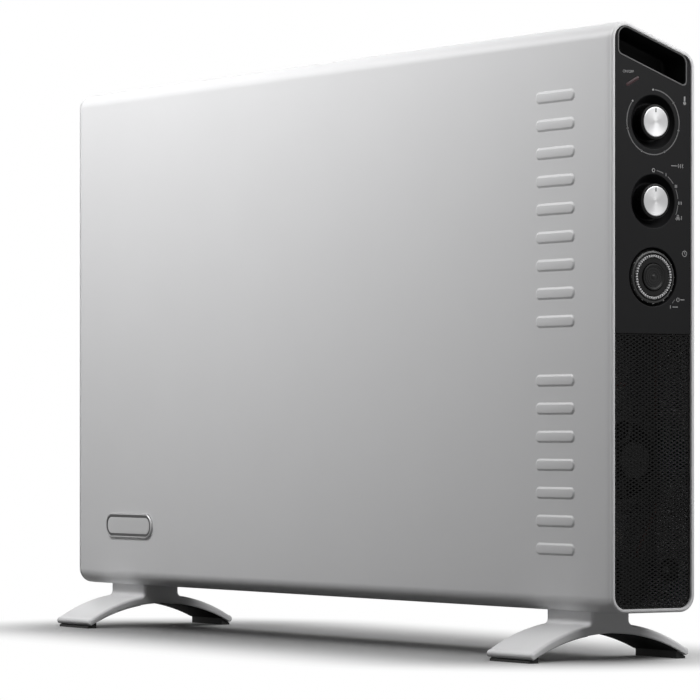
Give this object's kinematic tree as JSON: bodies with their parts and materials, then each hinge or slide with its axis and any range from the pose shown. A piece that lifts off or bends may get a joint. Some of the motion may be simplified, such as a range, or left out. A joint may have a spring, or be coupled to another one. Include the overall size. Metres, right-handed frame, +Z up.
{
  "type": "electric convector heater",
  "caption": "Slim free-standing convector heater on two arched feet, with two rotary controls, a day timer dial and a grip recess on its end.",
  "frame": {"origin": "centre of the whole object's footprint, on the floor", "axes": "+X towards the end with the controls, -Y towards the front sheet, +Z up"},
  "size_m": [0.7886, 0.143, 0.4609],
  "materials": {
    "casing_paint": "satin",
    "rim_paint": "satin",
    "foot_paint": "satin",
    "grille_black": "matt",
    "panel_black": "satin",
    "cup_black": "matt",
    "mesh_black": "matt",
    "badge_metal": "satin",
    "lens_red": "gloss",
    "lamp_glass": "clear",
    "knob_black": "satin",
    "cap_metal": "turned",
    "dial_black": "satin",
    "tappet_grey": "satin",
    "shaft_steel": "turned",
    "switch_ivory": "matt",
    "bulb_brass": "drawn",
    "inner_steel": "galvanised",
    "screw_steel": "plated",
    "tube_steel": "oxidised",
    "fin_metal": "mill",
    "insulator_white": "glazed ceramic",
    "fan_black": "matt",
    "wire_red": "sleeved",
    "pad_rubber": "matt"
  },
  "bodies": {
    "casing": {"front_shell": "casing_paint", "rear_shell": "casing_paint", "top_grille": "grille_black", "base_grille": "grille_black", "end_frame_right": "rim_paint", "end_frame_left": "rim_paint", "control_panel": "panel_black", "end_cover_left": "panel_black", "grip_cup_right": "cup_black", "grip_cup_left": "cup_black", "side_mesh_right": "mesh_black", "side_mesh_left": "mesh_black", "name_badge": "badge_metal", "indicator_lens": "lens_red", "indicator_lamp": "lamp_glass", "thermostat_body": "switch_ivory", "thermostat_bulb": "bulb_brass", "selector_switch": "switch_ivory", "timer_movement": "switch_ivory", "control_bracket": "inner_steel", "control_screws": "screw_steel", "bulkhead_right": "inner_steel", "bulkhead_left": "inner_steel", "heat_shield_front": "inner_steel", "heat_shield_rear": "inner_steel", "lower_tube": "tube_steel", "lower_fins": "fin_metal", "upper_tube": "tube_steel", "upper_fins": "fin_metal", "element_insulators": "insulator_white", "thermal_cutout": "inner_steel", "fan_frame": "fan_black", "fan_motor": "tube_steel", "terminal_block": "switch_ivory", "wiring_loom": "wire_red", "cord_inlet_bush": "cup_black", "foot_right": "foot_paint", "foot_left": "foot_paint", "foot_pads_right": "pad_rubber", "foot_pads_left": "pad_rubber", "foot_brackets": "inner_steel", "foot_screws": "screw_steel", "rear_screws": "screw_steel"},
    "thermostat": {"thermostat_knob": "knob_black", "thermostat_cap": "cap_metal", "thermostat_shaft": "shaft_steel"},
    "selector": {"selector_knob": "knob_black", "selector_cap": "cap_metal", "selector_shaft": "shaft_steel"},
    "dial": {"timer_dial": "dial_black"},
    "tappets": {"timer_tappets": "tappet_grey"},
    "mode_knob": {"timer_mode_knob": "dial_black", "timer_mode_shaft": "shaft_steel"},
    "fan_rotor": {"fan_impeller": "fan_black", "fan_shaft": "shaft_steel"}
  },
  "joints": [
    {"name": "thermostat_turn", "type": "hinge", "parent": "casing", "child": "thermostat", "pos_m": [0.39075, 0.0095, 0.3895], "axis": [-1, 0, 0], "range_deg": [0, 308.6]},
    {"name": "selector_turn", "type": "hinge", "parent": "casing", "child": "selector", "pos_m": [0.39075, 0.0095, 0.3325], "axis": [-1, 0, 0], "range_deg": [0, 120]},
    {"name": "timer_turn", "type": "hinge", "parent": "casing", "child": "dial", "pos_m": [0.39075, 0.0095, 0.278], "axis": [-1, 0, 0], "continuous": true},
    {"name": "tappets_push", "type": "slide", "parent": "dial", "child": "tappets", "axis": [-1, 0, 0], "range_m": [0, 0.0015]},
    {"name": "mode_turn", "type": "hinge", "parent": "casing", "child": "mode_knob", "pos_m": [0.39075, 0.0095, 0.278], "axis": [-1, 0, 0], "range_deg": [0, 25]},
    {"name": "fan_spin", "type": "hinge", "parent": "casing", "child": "fan_rotor", "pos_m": [0.34375, 0.0095, 0.146], "axis": [1, 0, 0], "continuous": true}
  ]
}
